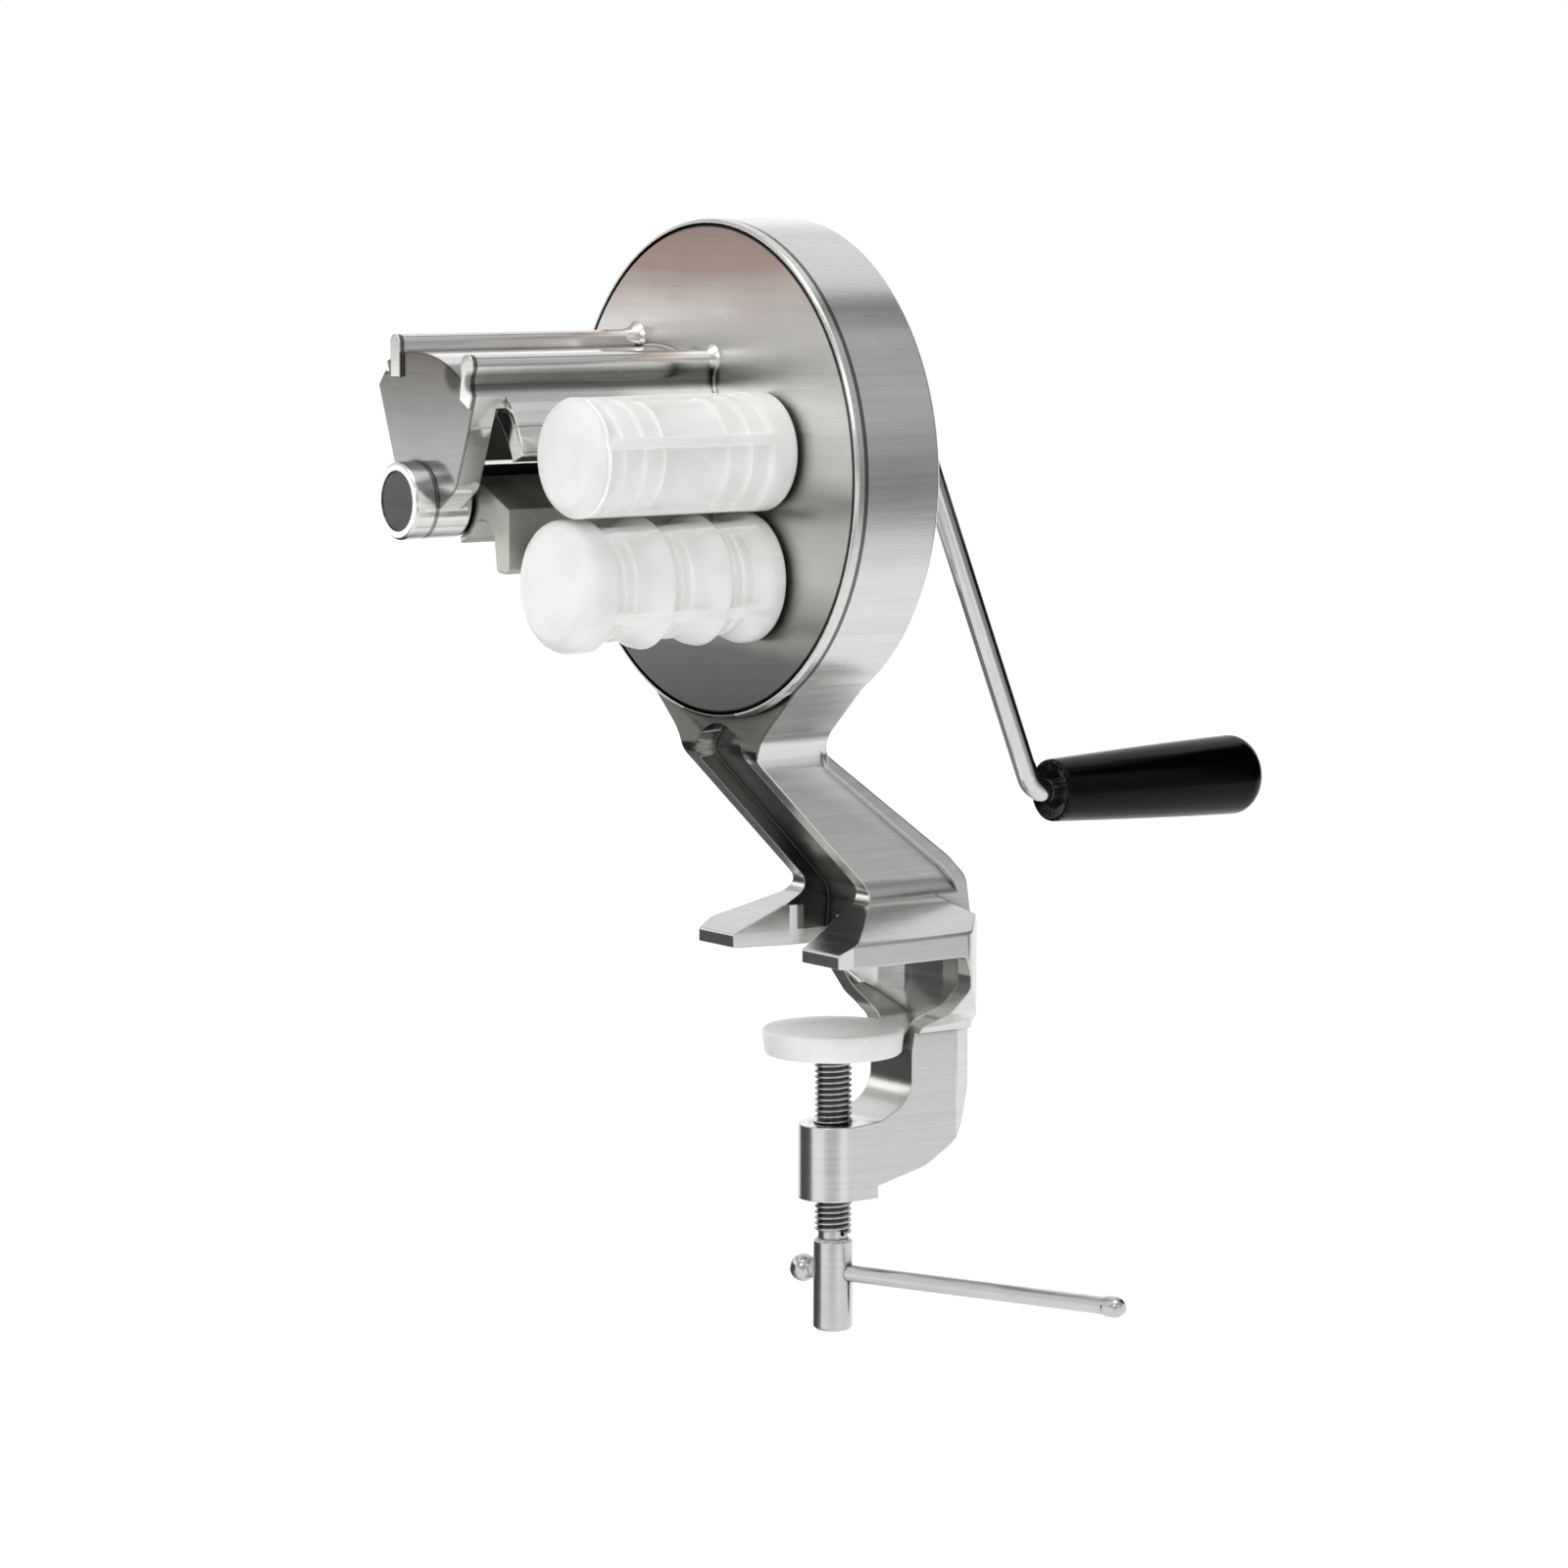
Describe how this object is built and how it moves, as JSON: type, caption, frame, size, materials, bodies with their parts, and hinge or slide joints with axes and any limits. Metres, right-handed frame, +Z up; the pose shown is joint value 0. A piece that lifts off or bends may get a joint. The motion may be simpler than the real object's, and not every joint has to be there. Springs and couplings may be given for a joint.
{
  "type": "pasta roller with table clamp",
  "caption": "Hand cranked pasta shell machine: round geared case, hooded cutter, white forming rollers, bent rod crank and a screw clamp for the worktop.",
  "frame": {"origin": "on the flat underside of the upper jaw, on the centre plane, where the worktop's upper face touches it", "axes": "+Z up; +Y along the roller axes from the hood towards the crank; +X across the case towards the rollers"},
  "size_m": [0.1436, 0.237, 0.2914],
  "materials": {
    "cast_body": "cast and brushed aluminium",
    "cast_front": "brushed aluminium disc with a polished hood",
    "cast_guide": "sand cast, unpolished",
    "bronze": "plain bearing bronze",
    "gear_steel": "cut steel",
    "shaft_steel": "ground steel",
    "dark_steel": "dark oxidised steel",
    "nylon": "white translucent nylon",
    "chrome_rod": "bright chrome",
    "screw_steel": "bright plated steel",
    "black_grip": "glossy black plastic"
  },
  "bodies": {
    "frame": {"main_casting": "cast_body", "front_casting": "cast_front", "guide_block": "cast_guide", "upper_bush": "bronze", "lower_bush": "bronze", "cutter_bush": "bronze", "crank_bush": "bronze", "cutter_back_bush": "bronze", "idler_stud": "shaft_steel"},
    "crank": {"drive_shaft": "shaft_steel", "drive_gear": "gear_steel", "upper_gear": "gear_steel", "upper_roller": "nylon", "crank_rod": "chrome_rod", "crank_hub": "chrome_rod"},
    "hand_grip": {"grip": "black_grip"},
    "lower_roll": {"lower_shaft": "shaft_steel", "lower_gear": "gear_steel", "lower_roller": "nylon"},
    "idler": {"idler_gear": "gear_steel"},
    "cutter": {"cutter_axle": "dark_steel", "cutter_rotor": "gear_steel", "cutter_pinion": "gear_steel"},
    "pad": {"pressure_pad": "nylon"},
    "screw": {"clamp_screw": "screw_steel", "screw_head": "screw_steel"},
    "bar": {"tommy_bar": "screw_steel", "tommy_ball": "screw_steel"}
  },
  "joints": [
    {"name": "crank_turn", "type": "hinge", "parent": "frame", "child": "crank", "pos_m": [0.027, -0.02, 0.1325], "axis": [0, 1, 0], "continuous": true},
    {"name": "lower_turn", "type": "hinge", "parent": "frame", "child": "lower_roll", "pos_m": [0.0205, -0.05, 0.10066], "axis": [0, 1, 0], "continuous": true},
    {"name": "idler_turn", "type": "hinge", "parent": "frame", "child": "idler", "pos_m": [-0.01471, -0.03, 0.14067], "axis": [0, 1, 0], "continuous": true},
    {"name": "cutter_turn", "type": "hinge", "parent": "frame", "child": "cutter", "pos_m": [-0.02404, -0.08, 0.1202], "axis": [0, 1, 0], "continuous": true},
    {"name": "grip_spin", "type": "hinge", "parent": "crank", "child": "hand_grip", "pos_m": [0.027, 0.07, 0.0407], "axis": [0, 1, 0], "continuous": true},
    {"name": "screw_travel", "type": "slide", "parent": "frame", "child": "pad", "axis": [0, 0, 1], "range_m": [-0.009, 0.0106]},
    {"name": "screw_turn", "type": "hinge", "parent": "pad", "child": "screw", "pos_m": [0, -0.0105, -0.05], "axis": [0, 0, 1], "range_deg": [-2200, 2580]},
    {"name": "bar_slide", "type": "slide", "parent": "screw", "child": "bar", "axis": [-0.9205, -0.3907, 0], "range_m": [0, 0.073]}
  ],
  "couplings": [
    {"joint": "lower_turn", "follows": "crank_turn", "ratio": -1},
    {"joint": "idler_turn", "follows": "crank_turn", "ratio": -2.4},
    {"joint": "cutter_turn", "follows": "crank_turn", "ratio": 3},
    {"joint": "screw_turn", "follows": "screw_travel", "rad_per_m": 4188.8}
  ]
}
